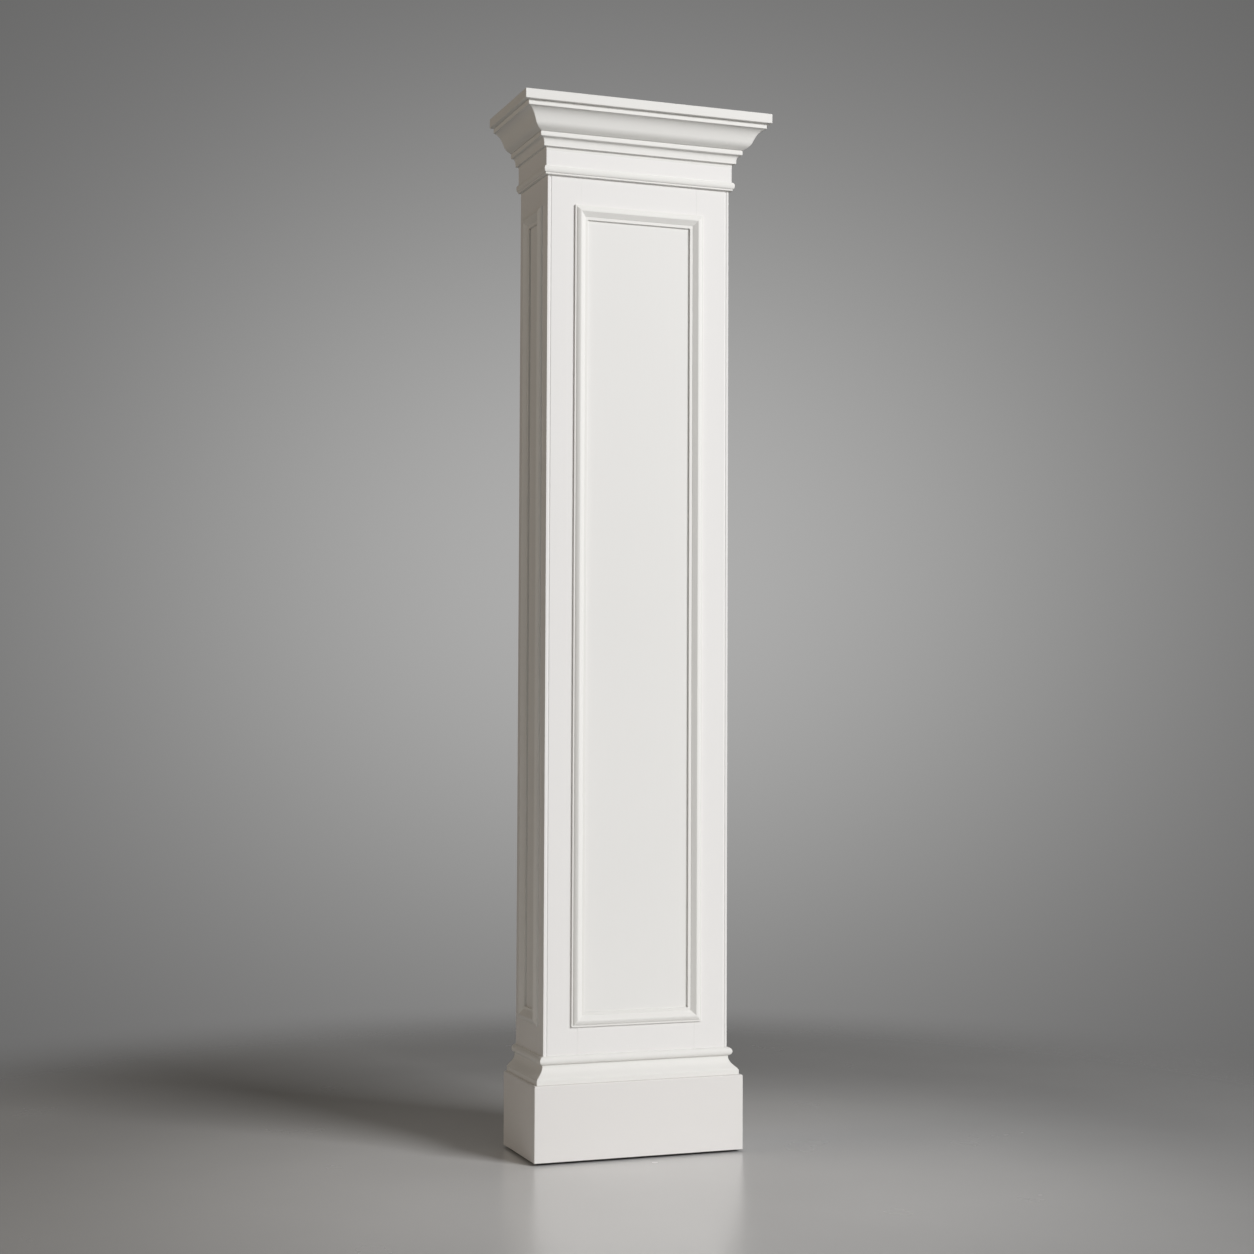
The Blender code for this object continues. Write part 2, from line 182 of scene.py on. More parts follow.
# %% [markdown]
# ## Paint maths in Python
#
# A material is a sum of patterns. Writing the sum as Python keeps it readable, so a socket is wrapped in
# a class whose operators add the Math nodes. Every other node comes from one method.

# %% A socket that can be added and multiplied
class Value:
    """One output of a node, which takes part in sums."""

    def __init__(self, recipe, socket):
        self.recipe = recipe
        self.socket = socket

    def calculate(self, operation, first, second):
        return self.recipe.node("ShaderNodeMath", {"operation": operation}, {0: first, 1: second})

    def __add__(self, other):
        return self.calculate("ADD", self, other)

    def __mul__(self, other):
        return self.calculate("MULTIPLY", self, other)

    def __sub__(self, other):
        return self.calculate("SUBTRACT", self, other)

    def __rsub__(self, other):
        return self.calculate("SUBTRACT", other, self)

    def __gt__(self, other):
        return self.calculate("GREATER_THAN", self, other)

    def __lt__(self, other):
        return self.calculate("LESS_THAN", self, other)

    __radd__ = __add__
    __rmul__ = __mul__


class Recipe:
    """The nodes of one material, or of the world."""

    def __init__(self, owner):
        owner.use_nodes = True
        self.tree = owner.node_tree
        self.tree.nodes.clear()

    def node(self, kind, settings=None, sockets=None, out=0):
        """Adds a node, sets its settings and then its sockets, and gives one of its outputs."""
        made_node = self.tree.nodes.new(kind)
        for key, setting in (settings or {}).items():
            setattr(made_node, key, setting)
        for key, given in (sockets or {}).items():
            if isinstance(given, Value):
                self.tree.links.new(given.socket, made_node.inputs[key])
            else:
                made_node.inputs[key].default_value = given
        return Value(self, made_node.outputs[out]) if made_node.outputs else None

    def noise(self, place, scale, detail=2.0, roughness=0.5):
        """A soft random pattern, from 0 to 1."""
        sockets = {"Vector": place, "Scale": scale, "Detail": detail, "Roughness": roughness}
        return self.node("ShaderNodeTexNoise", {}, sockets, "Fac")

    def stretched(self, place, stretch):
        """The place, multiplied along each axis."""
        settings = {"operation": "MULTIPLY"}
        return self.node("ShaderNodeVectorMath", settings, {0: place, 1: stretch}, "Vector")

    def blend(self, mask, first, second):
        """The first colour where the mask is 0 and the second where it is 1."""
        settings = {"data_type": "RGBA"}
        return self.node("ShaderNodeMix", settings, {"Factor": mask, "A": first, "B": second}, "Result")


# %% [markdown]
# ## Satin paint, and a bare back
#
# The outside has undercoat and two brushed coats of satin white. The strokes follow the length of each
# piece, so the same paint is made three times, once for each direction. What nobody sees has one thin
# coat of primer, which goes dull and lets the grain show: the inside of the box and the edges at the
# wall. The cut-back foot under the plinth is coloured near black as painted shade, which darkens its
# line on the floor. The place on the piece says which is which, so one material does it all.

# %% Make one paint
ALONG = {"x": (1, 0, 0), "y": (0, 1, 0), "z": (0, 0, 1)}
PRIMER = (0.62, 0.585, 0.52, 1)
PRIMER_GRAIN = (0.50, 0.455, 0.385, 1)
# The near-black colour for the plinth's foot is painted shade, which darkens its contact line on the floor.
PAINTED_CONTACT_SHADE = (0.03, 0.028, 0.025, 1)
UNDERCUT_DEPTH, UNDERCUT_RISE = 0.021, 0.005
PAINT_REACH = 0.0075
EDGE = 0.0004
STROKES_ALONG, STROKES_ACROSS = 12, 420
GRAIN_ALONG, GRAIN_ACROSS = 2.5, 90
DEEPER, PALER = 0.965, 1.012
SHINE, DULL = 0.36, 0.78
STROKE_RELIEF, PEEL_RELIEF, SANDED_RELIEF, GRAIN_RELIEF = 0.000035, 0.000010, 0.00012, 0.00012


def satin_paint(name, white, along):
    """Brushed satin paint whose strokes run along x, y or z."""
    material = bpy.data.materials.new(f"{name}_along_{along}")
    r = Recipe(material)
    place = r.node("ShaderNodeTexCoord", {}, {}, "Object")
    split = r.node("ShaderNodeSeparateXYZ", {}, {"Vector": place})
    outputs = split.socket.node.outputs
    x, y, z = (Value(r, outputs[i]) for i in range(3))
    across = r.node("ShaderNodeMath", {"operation": "ABSOLUTE"}, {0: x})
    in_plan = (y > FRONT_Y + PAINT_REACH) * (across < HALF_WIDTH - PAINT_REACH)
    inside = in_plan * (z < CAP_BOTTOM + EDGE)
    at_wall = y > BACK_Y - EDGE
    under = z < UNDERCUT_RISE + EDGE
    bare = r.node("ShaderNodeMath", {"operation": "ADD", "use_clamp": True}, {0: inside + at_wall, 1: under})

    lengthwise = Vector(ALONG[along])
    stroke_gap = STROKES_ACROSS - STROKES_ALONG
    grain_gap = GRAIN_ACROSS - GRAIN_ALONG
    strokes_place = r.stretched(place, tuple(STROKES_ACROSS - stroke_gap * v for v in lengthwise))
    grain_place = r.stretched(place, tuple(GRAIN_ACROSS - grain_gap * v for v in lengthwise))
    strokes = r.noise(strokes_place, 1, 3, 0.6)
    peel = r.noise(place, 700, 1)
    sanded = r.noise(place, 9, 1)
    drift = r.noise(place, 2.6, 3)
    grain = r.noise(grain_place, 1, 4, 0.65)

    deep = tuple(DEEPER * v for v in white)
    pale = tuple(min(1.0, PALER * v) for v in white)
    tone = r.blend(drift * 0.75 + strokes * 0.25, (*deep, 1), (*pale, 1))
    coated = r.blend(bare, tone, r.blend(grain, PRIMER, PRIMER_GRAIN))
    # Painted shade: the foot under the plinth turns near black, to darken the line where it meets the floor.
    colour = r.blend(under * (1 - inside), coated, PAINTED_CONTACT_SHADE)
    painted_shine = SHINE + strokes * 0.10 + drift * 0.06
    roughness = painted_shine + bare * (DULL - painted_shine)
    brushed = strokes * STROKE_RELIEF + peel * PEEL_RELIEF
    relief = brushed + sanded * SANDED_RELIEF + bare * grain * GRAIN_RELIEF
    bump = r.node("ShaderNodeBump", {}, {"Strength": 1.0, "Distance": 1.0, "Height": relief})
    surface = {"Base Color": colour, "Roughness": roughness, "Normal": bump, "IOR": 1.48}
    shader = r.node("ShaderNodeBsdfPrincipled", {}, surface)
    r.node("ShaderNodeOutputMaterial", {}, {"Surface": shader})
    return material


WHITES = {
    "frame_paint": (0.832, 0.819, 0.8),
    "moulding_paint": (0.82, 0.81, 0.78),
    "plinth_paint": (0.785, 0.765, 0.742),
}
PANEL_WHITE = (0.815, 0.806, 0.782)
paint = {}
for finish_name, white in WHITES.items():
    for direction in ALONG:
        paint[finish_name, direction] = (finish_name, satin_paint(finish_name, white, direction))
panel_paint = satin_paint("panel", PANEL_WHITE, "z")
print("paints:", len(paint) + 1)

# %% [markdown]
# ## Runs round three sides
#
# The plinth, base, neck, frieze, bed mould and crown each go round the front and both sides. The front
# length is mitred at both ends. A side length is mitred at the front and cut square at the wall. Round
# a corner the outline turns on a small circle, so the arris stays soft, and the two lengths share the
# ring that lies in the mitre.

# %% Carry an outline round the pilaster
CORNER = 0.0012
MITRE = 45


def corner_ring(outline, turn, side):
    """The outline at a turn round a front corner, from 0 at the front to 90 degrees at the side."""
    s, c = math.sin(math.radians(turn)), math.cos(math.radians(turn))
    return [
        (side * (HALF_WIDTH + p - CORNER + CORNER * s), FRONT_Y - p + CORNER - CORNER * c, z)
        for p, z in outline
    ]


def shifted(ring, dx=0.0, dy=0.0):
    """A ring moved along the length of its piece."""
    return [(x + dx, y + dy, z) for x, y, z in ring]


def three_sides(name, outline, slot):
    """The front, left and right lengths of one run."""
    turns = [MITRE * i / 3 for i in range(4)]
    left = [corner_ring(outline, turn, -1) for turn in reversed(turns)]
    right = [corner_ring(outline, turn, 1) for turn in turns]
    middle = [shifted(left[-1], HOLD), shifted(right[0], -HOLD)]
    loft(f"{name}_front", left + middle + right, paint[slot, "x"])
    for side, word in ((-1, "left"), (1, "right")):
        corner = [corner_ring(outline, MITRE + turn, side) for turn in turns]
        wall = [(x, BACK_Y, z) for x, y, z in corner[-1]]
        loft(f"{name}_{word}", [*corner, shifted(corner[-1], dy=HOLD), wall], paint[slot, "y"])


# %% [markdown]
# ## Plinth and base moulding
#
# The plinth is a plain board with a soft top edge. Its foot is cut back a little and coloured near black,
# a painted shade that draws the thin dark line where it meets the floor. Above it the base moulding slopes
# in to a narrow neck and ends in a torus. The back of every run reaches a little into the shaft, as filler
# and paint do, so no dark slot shows where the grooved corners pass behind it.

# %% Plinth and base
INTO_SHAFT = -0.0045
PLINTH_HEIGHT = 0.154
PLINTH_BOARD = 0.025
PLINTH_ROUND = 0.0025
BASE_FILLET_HEIGHT, BASE_FILLET_OUT = 0.0098, 0.019
BASE_SWELL_HEIGHT, BASE_SWELL_REACH = 0.017, 0.005
BASE_NOSE_STEP, BASE_NOSE_ROUND = 0.0012, 0.0036
BASE_SLOPE_LEAN, BASE_NECK_LEAN = 46, 12
BASE_NECK_HEIGHT, BASE_NECK_OUT = 0.010, 0.0024
BASE_TORUS_HEIGHT, BASE_TORUS_OUT = 0.0165, 0.0092


def plinth_outline():
    """The plinth board, from the floor up."""
    r = PLINTH_ROUND
    top_arris = arc((PLINTH_BOARD - r, PLINTH_HEIGHT - r), r, r, 0, 90, 8)
    heel = PLINTH_BOARD - UNDERCUT_DEPTH
    undercut = [(heel, 0), (heel, UNDERCUT_RISE), (PLINTH_BOARD, UNDERCUT_RISE)]
    return [(INTO_SHAFT, 0), *undercut, *top_arris, (INTO_SHAFT, PLINTH_HEIGHT)]


def base_outline():
    """Fillet, round nose, slope, neck and torus."""
    swell_bottom = PLINTH_HEIGHT + BASE_FILLET_HEIGHT
    neck_bottom = swell_bottom + BASE_SWELL_HEIGHT
    rise = BASE_TORUS_HEIGHT / 2
    middle = neck_bottom + BASE_NECK_HEIGHT + rise
    nose = BASE_FILLET_OUT - BASE_NOSE_STEP - BASE_NOSE_ROUND
    bend = arc((nose, swell_bottom), BASE_NOSE_ROUND, BASE_NOSE_ROUND, 0, BASE_SLOPE_LEAN, 6)
    neck_foot = (BASE_NECK_OUT, neck_bottom + BASE_SWELL_REACH)
    return [
        (INTO_SHAFT, PLINTH_HEIGHT),
        (BASE_FILLET_OUT, PLINTH_HEIGHT),
        (BASE_FILLET_OUT, swell_bottom),
        *bend,
        *flowing(bend[-1], -BASE_SLOPE_LEAN, neck_foot, -BASE_NECK_LEAN)[1:],
        *arc((BASE_NECK_OUT, middle), BASE_TORUS_OUT - BASE_NECK_OUT, rise, -90, 0),
        *arc((0, middle), BASE_TORUS_OUT, rise, 0, 90)[1:],
        (INTO_SHAFT, middle + rise),
    ]


three_sides("plinth", eased(plinth_outline()), "plinth_paint")
three_sides("base_mould", eased(base_outline()), "moulding_paint")
BASE_TOP = PLINTH_HEIGHT + BASE_FILLET_HEIGHT + BASE_SWELL_HEIGHT + BASE_NECK_HEIGHT + BASE_TORUS_HEIGHT
print(f"base mould ends {1000 * BASE_TOP:.1f} mm above the floor")

# %% [markdown]
# ## The capital
#
# From the neck up: an astragal, a plain frieze, a bed mould of hollow, cove and bead, a crown that turns
# from round to hollow in one curve, and the cap board. The levels count down from the cap board.

# %% Levels and reaches of the capital
FRIEZE_BOARD = 0.005
FRIEZE_HEIGHT = 0.0315
NECK_FILLET_HEIGHT, NECK_FILLET_OUT = 0.0032, 0.0066
NECK_BEAD_HEIGHT, NECK_BEAD_OUT = 0.0135, 0.010
BED_HOLLOW_HEIGHT, BED_HOLLOW_OUT = 0.0065, 0.0062
BED_FILLET_HEIGHT, BED_FILLET_OUT = 0.0035, 0.012
BED_COVE_HEIGHT, BED_COVE_OUT = 0.013, 0.0175
BED_BEAD_HEIGHT, BED_BEAD_OUT, BED_BEAD_ROUND = 0.0103, 0.022, 0.0022
CROWN_ROUND_HEIGHT, CROWN_FOOT_OUT, CROWN_ROUND_OUT = 0.0144, 0.0228, 0.0376
CROWN_HOLLOW_HEIGHT, CROWN_HOLLOW_OUT = 0.0246, 0.0568
CROWN_FILLET_HEIGHT, CROWN_FILLET_OUT = 0.0101, 0.0595
CROWN_SEAT, CROWN_LAND = 0.010, 0.0215
BED_HOLLOW_LEANS, BED_COVE_LEANS = (6, 16), (2, 60)
CROWN_FOOT_LEAN, CROWN_BEND_LEAN, CROWN_TOP_LEAN = 58, 22, 62
SUNK, PROUD = 0.0005, 0.0001
CROWN_BOTTOM = CAP_BOTTOM - CROWN_FILLET_HEIGHT - CROWN_HOLLOW_HEIGHT - CROWN_ROUND_HEIGHT
BED_BOTTOM = CROWN_BOTTOM - BED_HOLLOW_HEIGHT - BED_FILLET_HEIGHT - BED_COVE_HEIGHT - BED_BEAD_HEIGHT
NECK_TOP = BED_BOTTOM - FRIEZE_HEIGHT
NECK_BOTTOM = NECK_TOP - NECK_FILLET_HEIGHT - NECK_BEAD_HEIGHT
ON_FRIEZE = FRIEZE_BOARD - SUNK
print(f"neck {1000 * NECK_BOTTOM:.1f}, bed mould {1000 * BED_BOTTOM:.1f}, crown {1000 * CROWN_BOTTOM:.1f} mm")


# %% Neck, frieze and bed mould
def neck_outline():
    """A fillet with a bead over it."""
    rise = NECK_BEAD_HEIGHT / 2
    return [
        (INTO_SHAFT, NECK_BOTTOM),
        (NECK_FILLET_OUT, NECK_BOTTOM),
        *arc((NECK_FILLET_OUT, NECK_TOP - rise), NECK_BEAD_OUT - NECK_FILLET_OUT, rise, -90, 90, 24),
        (INTO_SHAFT, NECK_TOP),
    ]


def frieze_outline():
    """A plain board that runs up behind the mouldings."""
    low_level = NECK_TOP - EDGE
    return [
        (INTO_SHAFT, low_level),
        (FRIEZE_BOARD, low_level),
        (FRIEZE_BOARD, CAP_BOTTOM),
        (INTO_SHAFT, CAP_BOTTOM),
    ]


def bed_outline():
    """Small hollow, fillet, cove and bead."""
    fillet_bottom = BED_BOTTOM + BED_HOLLOW_HEIGHT
    cove_bottom = fillet_bottom + BED_FILLET_HEIGHT
    bead_bottom = cove_bottom + BED_COVE_HEIGHT
    r = BED_BEAD_ROUND
    start_lean, end_lean = BED_HOLLOW_LEANS
    hollow_foot, hollow_top = (FRIEZE_BOARD + PROUD, BED_BOTTOM), (BED_HOLLOW_OUT, fillet_bottom)
    cove_foot, cove_top = (BED_FILLET_OUT, cove_bottom), (BED_COVE_OUT, bead_bottom)
    return [
        (ON_FRIEZE, BED_BOTTOM),
        *flowing(hollow_foot, start_lean, hollow_top, end_lean, 8),
        (BED_FILLET_OUT, fillet_bottom),
        *flowing(cove_foot, BED_COVE_LEANS[0], cove_top, BED_COVE_LEANS[1], 12),
        *arc((BED_BEAD_OUT - r, bead_bottom + r), r, r, -90, 0, 8),
        *arc((BED_BEAD_OUT - r, CROWN_BOTTOM - r), r, r, 0, 90, 8),
        (ON_FRIEZE, CROWN_BOTTOM),
    ]


three_sides("neck_astragal", eased(neck_outline()), "moulding_paint")
three_sides("frieze", eased(frieze_outline()), "frame_paint")
three_sides("bed_mould", eased(bed_outline()), "moulding_paint")


# %% Crown
def crown_outline():
    """A round that flows up into a hollow, under a fillet, sprung off the frieze behind."""
    bend_level = CROWN_BOTTOM + CROWN_ROUND_HEIGHT
    hollow_top = bend_level + CROWN_HOLLOW_HEIGHT
    bend = (CROWN_ROUND_OUT, bend_level)
    return [
        (ON_FRIEZE, CROWN_BOTTOM),
        *flowing((CROWN_FOOT_OUT, CROWN_BOTTOM), CROWN_FOOT_LEAN, bend, CROWN_BEND_LEAN),
        *flowing(bend, CROWN_BEND_LEAN, (CROWN_HOLLOW_OUT, hollow_top), CROWN_TOP_LEAN, 24)[1:],
        (CROWN_FILLET_OUT, hollow_top),
        (CROWN_FILLET_OUT, CAP_BOTTOM),
        (CROWN_FILLET_OUT - CROWN_LAND, CAP_BOTTOM),
        (ON_FRIEZE, CROWN_BOTTOM + CROWN_SEAT),
    ]


three_sides("crown", eased(crown_outline()), "moulding_paint")

# %% [markdown]
# ## Cap board
#
# One board closes the top. Its three shown edges are eased above and below. Lofting it upwards lets one
# ring hold the whole plan: wall, left edge, front edge, right edge and wall again.

# %% Cap board
CAP_OUT = CAP_HALF - HALF_WIDTH
CAP_EASING = 0.0012


def cap_ring(inset, level):
    """The board's plan at one level, its edges set in by a little."""
    edge = [(CAP_OUT - inset, level)]
    left = [corner_ring(edge, 90 * i / 6, -1)[0] for i in range(7)]
    right = [corner_ring(edge, 90 * i / 6, 1)[0] for i in range(7)]
    left.reverse()
    return [
        (left[0][0], BACK_Y, level),
        (left[0][0], left[0][1] + HOLD, level),
        *left,
        (left[-1][0] + HOLD, left[-1][1], level),
        (right[0][0] - HOLD, right[0][1], level),
        *right,
        (right[-1][0], right[-1][1] + HOLD, level),
        (right[-1][0], BACK_Y, level),
    ]


easing = arc((CAP_EASING, 0), CAP_EASING, CAP_EASING, 180, 270, 6)
insets = [(inset, CAP_BOTTOM + CAP_EASING + drop) for inset, drop in reversed(easing)]
insets += [(0, CAP_BOTTOM + CAP_EASING + HOLD), (0, HEIGHT - CAP_EASING - HOLD)]
insets += [(inset, HEIGHT - CAP_EASING - drop) for inset, drop in easing]
flat = CAP_EASING + HOLD
insets = [(flat, CAP_BOTTOM), *insets, (flat, HEIGHT)]
cap = loft("cap_board", [cap_ring(inset, level) for inset, level in insets], paint["moulding_paint", "x"])

# %% [markdown]
# ## The shaft's frames
#
# Stiles run from the floor to the cap board, with rails between them. Each front stile has a flat strip
# along the corner with a shallow groove beside it, a quiet line that dresses the corner. Each stile here
# is wider than its solid by the clearance of a glue joint, so that stile and rail meet under one skin of
# paint. The rails and panels keep their solids, because their shape is already right.

# %% The three faces of the shaft
FRONT_MARGIN, SIDE_MARGIN = 0.057, 0.031
TOP_MARGIN, BOTTOM_MARGIN = 0.056, 0.0545
MOULD_LAP = 0.014
PANEL_RECESS, REBATE = 0.003, 0.008
CORNER_STRIP, GROOVE_WIDTH, GROOVE_DEPTH = 0.0045, 0.0038, 0.001
STILE_ARRIS, STILE_GATHER = 0.0006, 0.0004
UP = Vector((0, 0, 1))


class Face:
    """One face of the shaft: its middle, its own directions, and where its frame starts and ends."""

    def __init__(self, name, origin, out, width, margin, sides, edges):
        self.name = name
        self.sides = sides
        self.edges = edges
        self.origin = Vector(origin)
        self.out = Vector(out)
        self.along = UP.cross(self.out)
        self.mould_half = width / 2 - margin
        self.opening_half = self.mould_half - MOULD_LAP

    def point(self, along, depth, level):
        """The place on this face, at a depth behind it."""
        return self.origin + along * self.along - depth * self.out + level * UP


half_depth = SHAFT_DEPTH / 2
middle_y = (FRONT_Y + BACK_Y) / 2
seam = half_depth - BOARD - CLEARANCE
front_middle, front_edges = (0, FRONT_Y, 0), (-HALF_WIDTH, HALF_WIDTH)
left_middle, left_edges = (-HALF_WIDTH, middle_y, 0), (-half_depth, seam)
right_middle, right_edges = (HALF_WIDTH, middle_y, 0), (-seam, half_depth)
FRONT = Face("front", front_middle, (0, -1, 0), 2 * HALF_WIDTH, FRONT_MARGIN, ("left", "right"), front_edges)
LEFT = Face("left", left_middle, (-1, 0, 0), SHAFT_DEPTH, SIDE_MARGIN, ("back", "front"), left_edges)
RIGHT = Face("right", right_middle, (1, 0, 0), SHAFT_DEPTH, SIDE_MARGIN, ("front", "back"), right_edges)


# %% Stiles
def stile_outline(width, thickness, grooved):
    """A stile from its outer edge in to the rail, as (inwards, depth)."""
    outer = [(0, thickness), (0, 0)]
    if grooved:
        half = GROOVE_WIDTH / 2
        outer += arc((CORNER_STRIP + half, 0), half, GROOVE_DEPTH, 180, 0, 16)
    inner = [(width, 0), (width, PANEL_RECESS), (width - REBATE, PANEL_RECESS), (width - REBATE, thickness)]
    return outer + inner


def add_stiles(face):
    """Both uprights of one frame."""
    grooved = face.name == "front"
    thickness = BOARD + (CLEARANCE if grooved else 0)
    for side, edge in zip(face.sides, face.edges):
        inwards = 1 if edge < 0 else -1
        width = abs(edge) - face.opening_half + CLEARANCE
        outline = eased(stile_outline(width, thickness, grooved), STILE_ARRIS, STILE_GATHER)
        rings = [
            [face.point(edge + inwards * w, depth, level) for w, depth in outline]
            for level in (0, CAP_BOTTOM)
        ]
        loft(f"{face.name}_frame_{side}_stile", rings, paint["frame_paint", "z"])


for face in (FRONT, LEFT, RIGHT):
    add_stiles(face)

# %% [markdown]
# ## Panel mouldings
#
# Four mitred lengths cover the joint between frame and panel. From outside in: a flat edge, a slow round
# up to the crest, a long slope down, and a flat fillet on the panel. All four share one outline, and
# each end ring is slanted by its distance from the outer edge, which is what a mitre does.

# %% Outline of the panel moulding
MOULD_EDGE_WIDTH, MOULD_EDGE_HEIGHT = 0.0035, 0.004
MOULD_ROUND_WIDTH, MOULD_CREST_WIDTH, MOULD_CREST_HEIGHT = 0.007, 0.002, 0.0086
MOULD_SLOPE_WIDTH, MOULD_FOOT_WIDTH, MOULD_FOOT_HEIGHT = 0.0095, 0.0065, 0.0012
MOULD_STEP, MOULD_SUNK = 0.0006, 0.0002
MOULD_ROUND_LEANS = (50, 70)
MOULD_ARRIS, MOULD_GATHER = 0.0007, 0.0004
MOULD_BOTTOM, MOULD_TOP = BASE_TOP + BOTTOM_MARGIN, NECK_BOTTOM - TOP_MARGIN


def panel_mould_outline():
    """(distance in from the outer edge, height over the frame's face)."""
    crest_start = MOULD_EDGE_WIDTH + MOULD_ROUND_WIDTH
    slope_start = crest_start + MOULD_CREST_WIDTH
    slope_end = slope_start + MOULD_SLOPE_WIDTH
    foot_end = slope_end + MOULD_FOOT_WIDTH
    round_foot = (MOULD_EDGE_WIDTH, MOULD_EDGE_HEIGHT + MOULD_STEP)
    round_top = (crest_start, MOULD_CREST_HEIGHT)
    start_lean, end_lean = MOULD_ROUND_LEANS
    lap = MOULD_LAP + 2 * CLEARANCE
    on_panel = -PANEL_RECESS - CLEARANCE - MOULD_SUNK
    return [
        (0, -MOULD_SUNK),
        (0, MOULD_EDGE_HEIGHT),
        (MOULD_EDGE_WIDTH, MOULD_EDGE_HEIGHT),
        *flowing(round_foot, start_lean, round_top, end_lean),
        (slope_start, MOULD_CREST_HEIGHT),
        (slope_end, MOULD_FOOT_HEIGHT + MOULD_STEP),
        (slope_end, MOULD_FOOT_HEIGHT),
        (foot_end, MOULD_FOOT_HEIGHT),
        (foot_end, on_panel),
        (lap, on_panel),
        (lap, -MOULD_SUNK),
    ]


# %% Mitre the four lengths round each panel
def add_panel_mould(face):
    """Left, right, top and bottom lengths on one face."""
    outline = eased(panel_mould_outline(), MOULD_ARRIS, MOULD_GATHER)
    half = face.mould_half
    for side, sign in zip(face.sides, (-1, 1)):
        bottom = [face.point(sign * (half - w), -h, MOULD_BOTTOM + w) for w, h in outline]
        top = [face.point(sign * (half - w), -h, MOULD_TOP - w) for w, h in outline]
        loft(f"{face.name}_panel_mould_{side}", [bottom, top], paint["moulding_paint", "z"])
    across = "x" if face.name == "front" else "y"
    for side, level, sign in (("bottom", MOULD_BOTTOM, 1), ("top", MOULD_TOP, -1)):
        rings = [
            [face.point(end * (half - w), -h, level + sign * w) for w, h in outline]
            for end in (-1, 1)
        ]
        loft(f"{face.name}_panel_mould_{side}", rings, paint["moulding_paint", across])


for face in (FRONT, LEFT, RIGHT):
    add_panel_mould(face)
print("pieces made:", len(made))

# %% [markdown]
# ## Paint on the solids that stay
#
# Rails are brushed along their own length and panels from top to bottom. The panels are painted a
# shade deeper than their frames.

# %% Paint rails and panels
for node_name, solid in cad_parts.items():
    if node_name.endswith("_rail"):
        material = paint["frame_paint", "x" if node_name.startswith("front") else "y"][1]
    elif node_name.endswith("_panel"):
        material = panel_paint
    else:
        continue
    for material_slot in solid.material_slots:
        material_slot.material = material

# %% [markdown]
# ## Floor
#
# The floor is a pale grey studio sheet with a slight sheen, which shows a soft reflection of the plinth
# when it is seen at a low angle. A painted pool of light makes it palest in the middle and greyer away.
# A real sheet sweeps up behind the subject and its edge is never seen. Here the floor is a disc whose
# edge fades away into the background, so it looks the same from any side.

# %% Floor
FLOOR_RADIUS = 2.6
FLOOR_SHINE = 0.22
FADE_START, FADE_END = 1.25, 2.3
FLOOR_NEAR = (0.69, 0.685, 0.675, 1)
FLOOR_FAR = (0.41, 0.408, 0.402, 1)
NEAR_RADIUS, FAR_RADIUS = 0.4, 1.35
PAINTED_LIGHT_MIDDLE = (-0.02, -0.2, 0.0)
shape = bmesh.new()
bmesh.ops.create_circle(shape, cap_ends=True, radius=FLOOR_RADIUS, segments=96)
mesh = bpy.data.meshes.new("floor")
shape.to_mesh(mesh)
shape.free()
floor = bpy.data.objects.new("floor", mesh)
bpy.context.scene.collection.objects.link(floor)
floor_material = bpy.data.materials.new("studio_floor")
r = Recipe(floor_material)
place = r.node("ShaderNodeTexCoord", {}, {}, "Object")
radius = r.node("ShaderNodeVectorMath", {"operation": "LENGTH"}, {0: place}, "Value")
fade_ends = {"Value": radius, "From Min": FADE_END, "From Max": FADE_START}
shown = r.node("ShaderNodeMapRange", {"interpolation_type": "SMOOTHERSTEP"}, fade_ends)
from_middle = r.node("ShaderNodeVectorMath", {"operation": "DISTANCE"}, {0: place, 1: PAINTED_LIGHT_MIDDLE}, "Value")
far_ends = {"Value": from_middle, "From Min": NEAR_RADIUS, "From Max": FAR_RADIUS}
painted_light_falloff = r.node("ShaderNodeMapRange", {"interpolation_type": "SMOOTHSTEP"}, far_ends)
cloud = r.noise(place, 1.3, 3)
sheen = FLOOR_SHINE + r.noise(place, 4, 4) * 0.08
# Painted pool of light: the floor's colour is paler near the middle and greyer further out.
floor_colour = r.blend(painted_light_falloff * 0.9 + cloud * 0.1, FLOOR_NEAR, FLOOR_FAR)
floor_surface = {"Base Color": floor_colour, "Roughness": sheen, "Alpha": shown, "IOR": 1.45}
floor_shader = r.node("ShaderNodeBsdfPrincipled", {}, floor_surface)
r.node("ShaderNodeOutputMaterial", {}, {"Surface": floor_shader})
mesh.materials.append(floor_material)

# %% [markdown]
# ## Background
#
# The background is a grey wall with a soft glow in the middle. It is painted by direction alone: dark
# grey all round, and an oval glow in the direction that the camera faces and in the opposite one. The
# wall is left out of reflections, so the floor mirrors the pilaster and not the glow.

# %% Background
YAW, PITCH, ROLL = math.radians(20.276), math.radians(2.221), math.radians(0.231)
WALL_GREY = 0.116
GLOW = 0.31
GLOW_WIDE, GLOW_HIGH = math.radians(15.0), math.radians(12.2)
GLOW_LIFT = math.radians(4.0)
flat_part = math.cos(GLOW_LIFT)
ahead = Vector((math.sin(YAW) * flat_part, math.cos(YAW) * flat_part, math.sin(GLOW_LIFT)))
sideways = Vector((math.cos(YAW), -math.sin(YAW), 0))
upwards = sideways.cross(ahead)
world = bpy.data.worlds.new("studio")
bpy.context.scene.world = world
world.cycles_visibility.glossy = False
r = Recipe(world)
direction = r.node("ShaderNodeTexCoord", {}, {}, "Generated")
dot = {"operation": "DOT_PRODUCT"}
off_side = r.node("ShaderNodeVectorMath", dot, {0: direction, 1: sideways / GLOW_WIDE}, "Value")
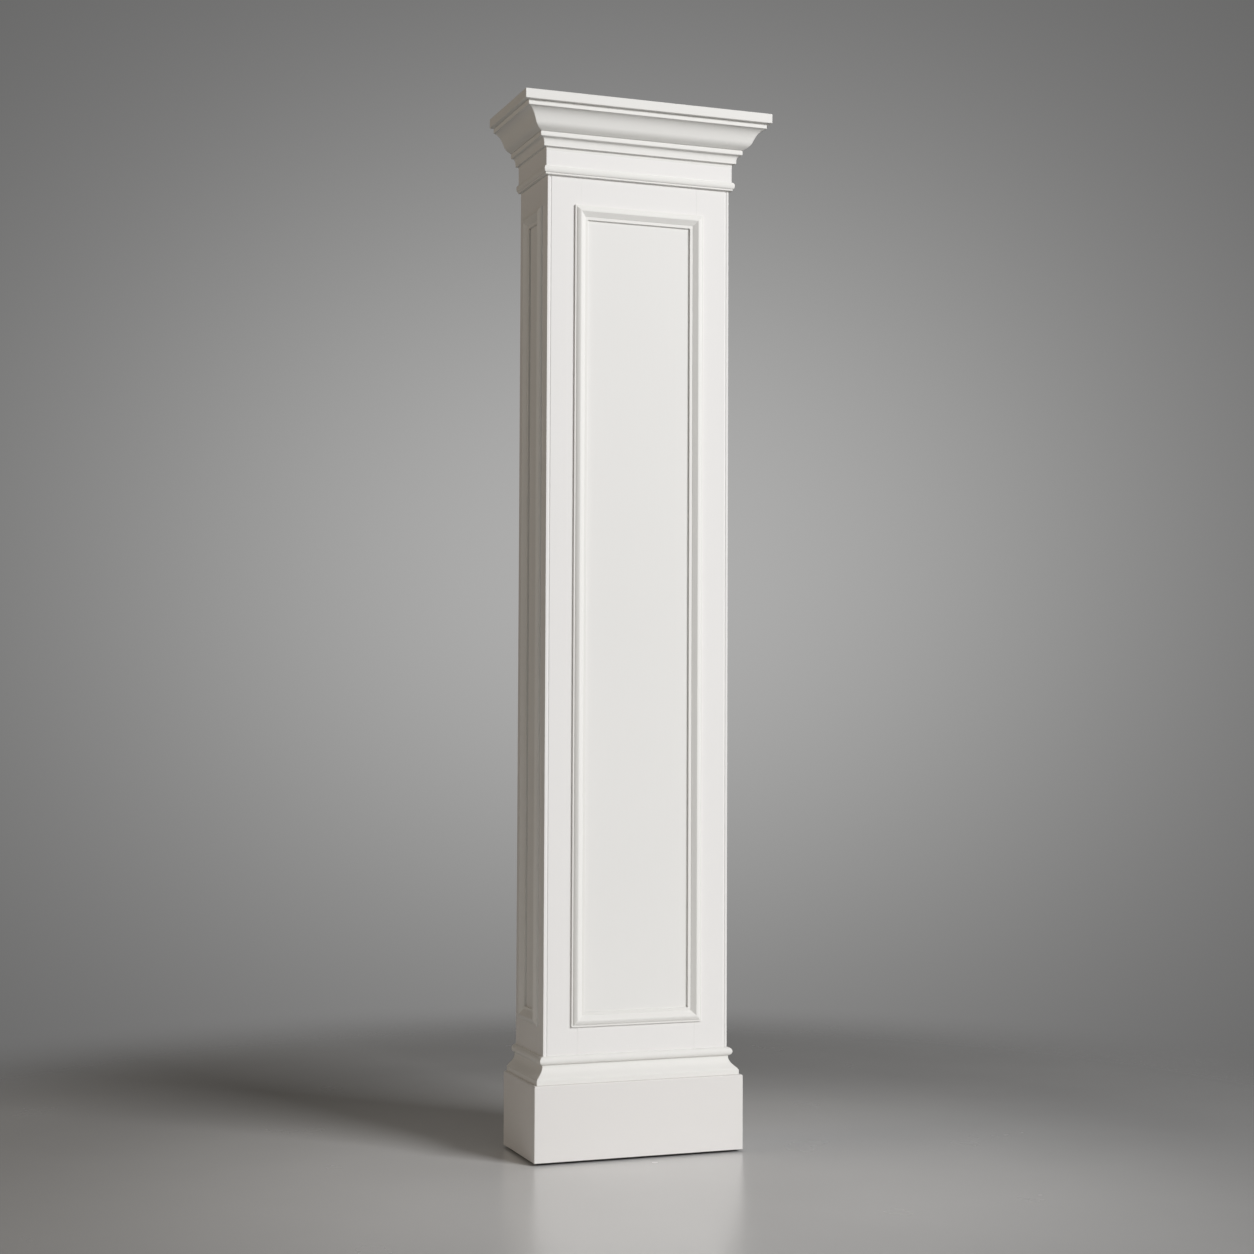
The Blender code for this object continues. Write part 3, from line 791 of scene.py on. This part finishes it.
off_level = r.node("ShaderNodeVectorMath", dot, {0: direction, 1: upwards / GLOW_HIGH}, "Value")
distance = off_side * off_side + off_level * off_level
glow = r.node("ShaderNodeMath", {"operation": "EXPONENT"}, {0: 0 - distance})
brightness = WALL_GREY + glow * GLOW
background = r.node("ShaderNodeBackground", {}, {"Color": (1.0, 0.995, 0.985, 1), "Strength": brightness})
r.node("ShaderNodeOutputWorld", {}, {"Surface": background})

# %% [markdown]
# ## Lamps
#
# One big softbox stands well back at the front right, at twice the pilaster's height. It lights the front,
# leaves the left side in shade and throws a long soft shadow to the back left. A low weak softbox in front
# lifts the hollows of the capital, as light from a pale floor does. Warm fill reaches the shaded side, as
# from the walls of a room, and a weak lamp behind shows the open back. No lamp shows in a mirror image,
# so the floor has no white patch when the pilaster is seen from behind.


# %% Lamps
DAYLIGHT = (0.988, 0.987, 1.0)
OFF_THE_FLOOR = (1.0, 0.985, 0.95)
OFF_WARM_WALLS = (1.0, 0.84, 0.66)
PLAIN = (1.0, 1.0, 1.0)


def softbox(name, azimuth, distance, level, aim, size, watts, colour):
    """A lamp aimed at a level of the shaft. Azimuth 0 is straight in front and 90 to the right."""
    light = bpy.data.lights.new(name, "AREA")
    light.shape = "RECTANGLE"
    light.size, light.size_y = size
    light.energy = watts
    light.color = colour
    lamp = bpy.data.objects.new(name, light)
    turned = math.radians(azimuth)
    place = Vector((distance * math.sin(turned), FRONT_Y - distance * math.cos(turned), level))
    lamp.location = place
    lamp.rotation_euler = (place - Vector((0, FRONT_Y, aim))).to_track_quat("Z", "Y").to_euler()
    lamp.visible_camera = False
    lamp.visible_glossy = False
    bpy.context.scene.collection.objects.link(lamp)
    print(f"{name}: {watts} W, {distance} m away at azimuth {azimuth}")


softbox("key", 32, distance=7.0, level=4.2, aim=1.1, size=(3.3, 1.8), watts=524, colour=DAYLIGHT)
softbox("low_fill", 6, distance=5.0, level=0.6, aim=1.9, size=(3.0, 1.0), watts=38, colour=OFF_THE_FLOOR)
softbox("side_fill", -98, distance=3.6, level=2.4, aim=0.9, size=(2.4, 1.4), watts=20.5, colour=OFF_WARM_WALLS)
softbox("back_fill", 165, distance=4.5, level=3.0, aim=1.0, size=(2.5, 2.5), watts=13, colour=PLAIN)

# %% [markdown]
# ## Camera
#
# The camera stands to the left of the pilaster at about half its height and looks slightly up. Its place,
# turn and lens come from fitting the corners of plinth, shaft and cap board in the photograph.

# %% Camera
LENS = 62.42
CAMERA_PLACE = (-1.5298, -4.1329, 0.8837)
camera_data = bpy.data.cameras.new("camera")
camera_data.lens = LENS
camera_data.sensor_width = 36
camera = bpy.data.objects.new("camera", camera_data)
tilt = Matrix.Rotation(math.pi / 2 + PITCH, 4, "X")
turn = Matrix.Rotation(-YAW, 4, "Z") @ tilt @ Matrix.Rotation(ROLL, 4, "Z")
camera.matrix_world = Matrix.Translation(CAMERA_PLACE) @ turn
bpy.context.scene.collection.objects.link(camera)
bpy.context.scene.camera = camera
bpy.context.scene.view_settings.view_transform = "Standard"
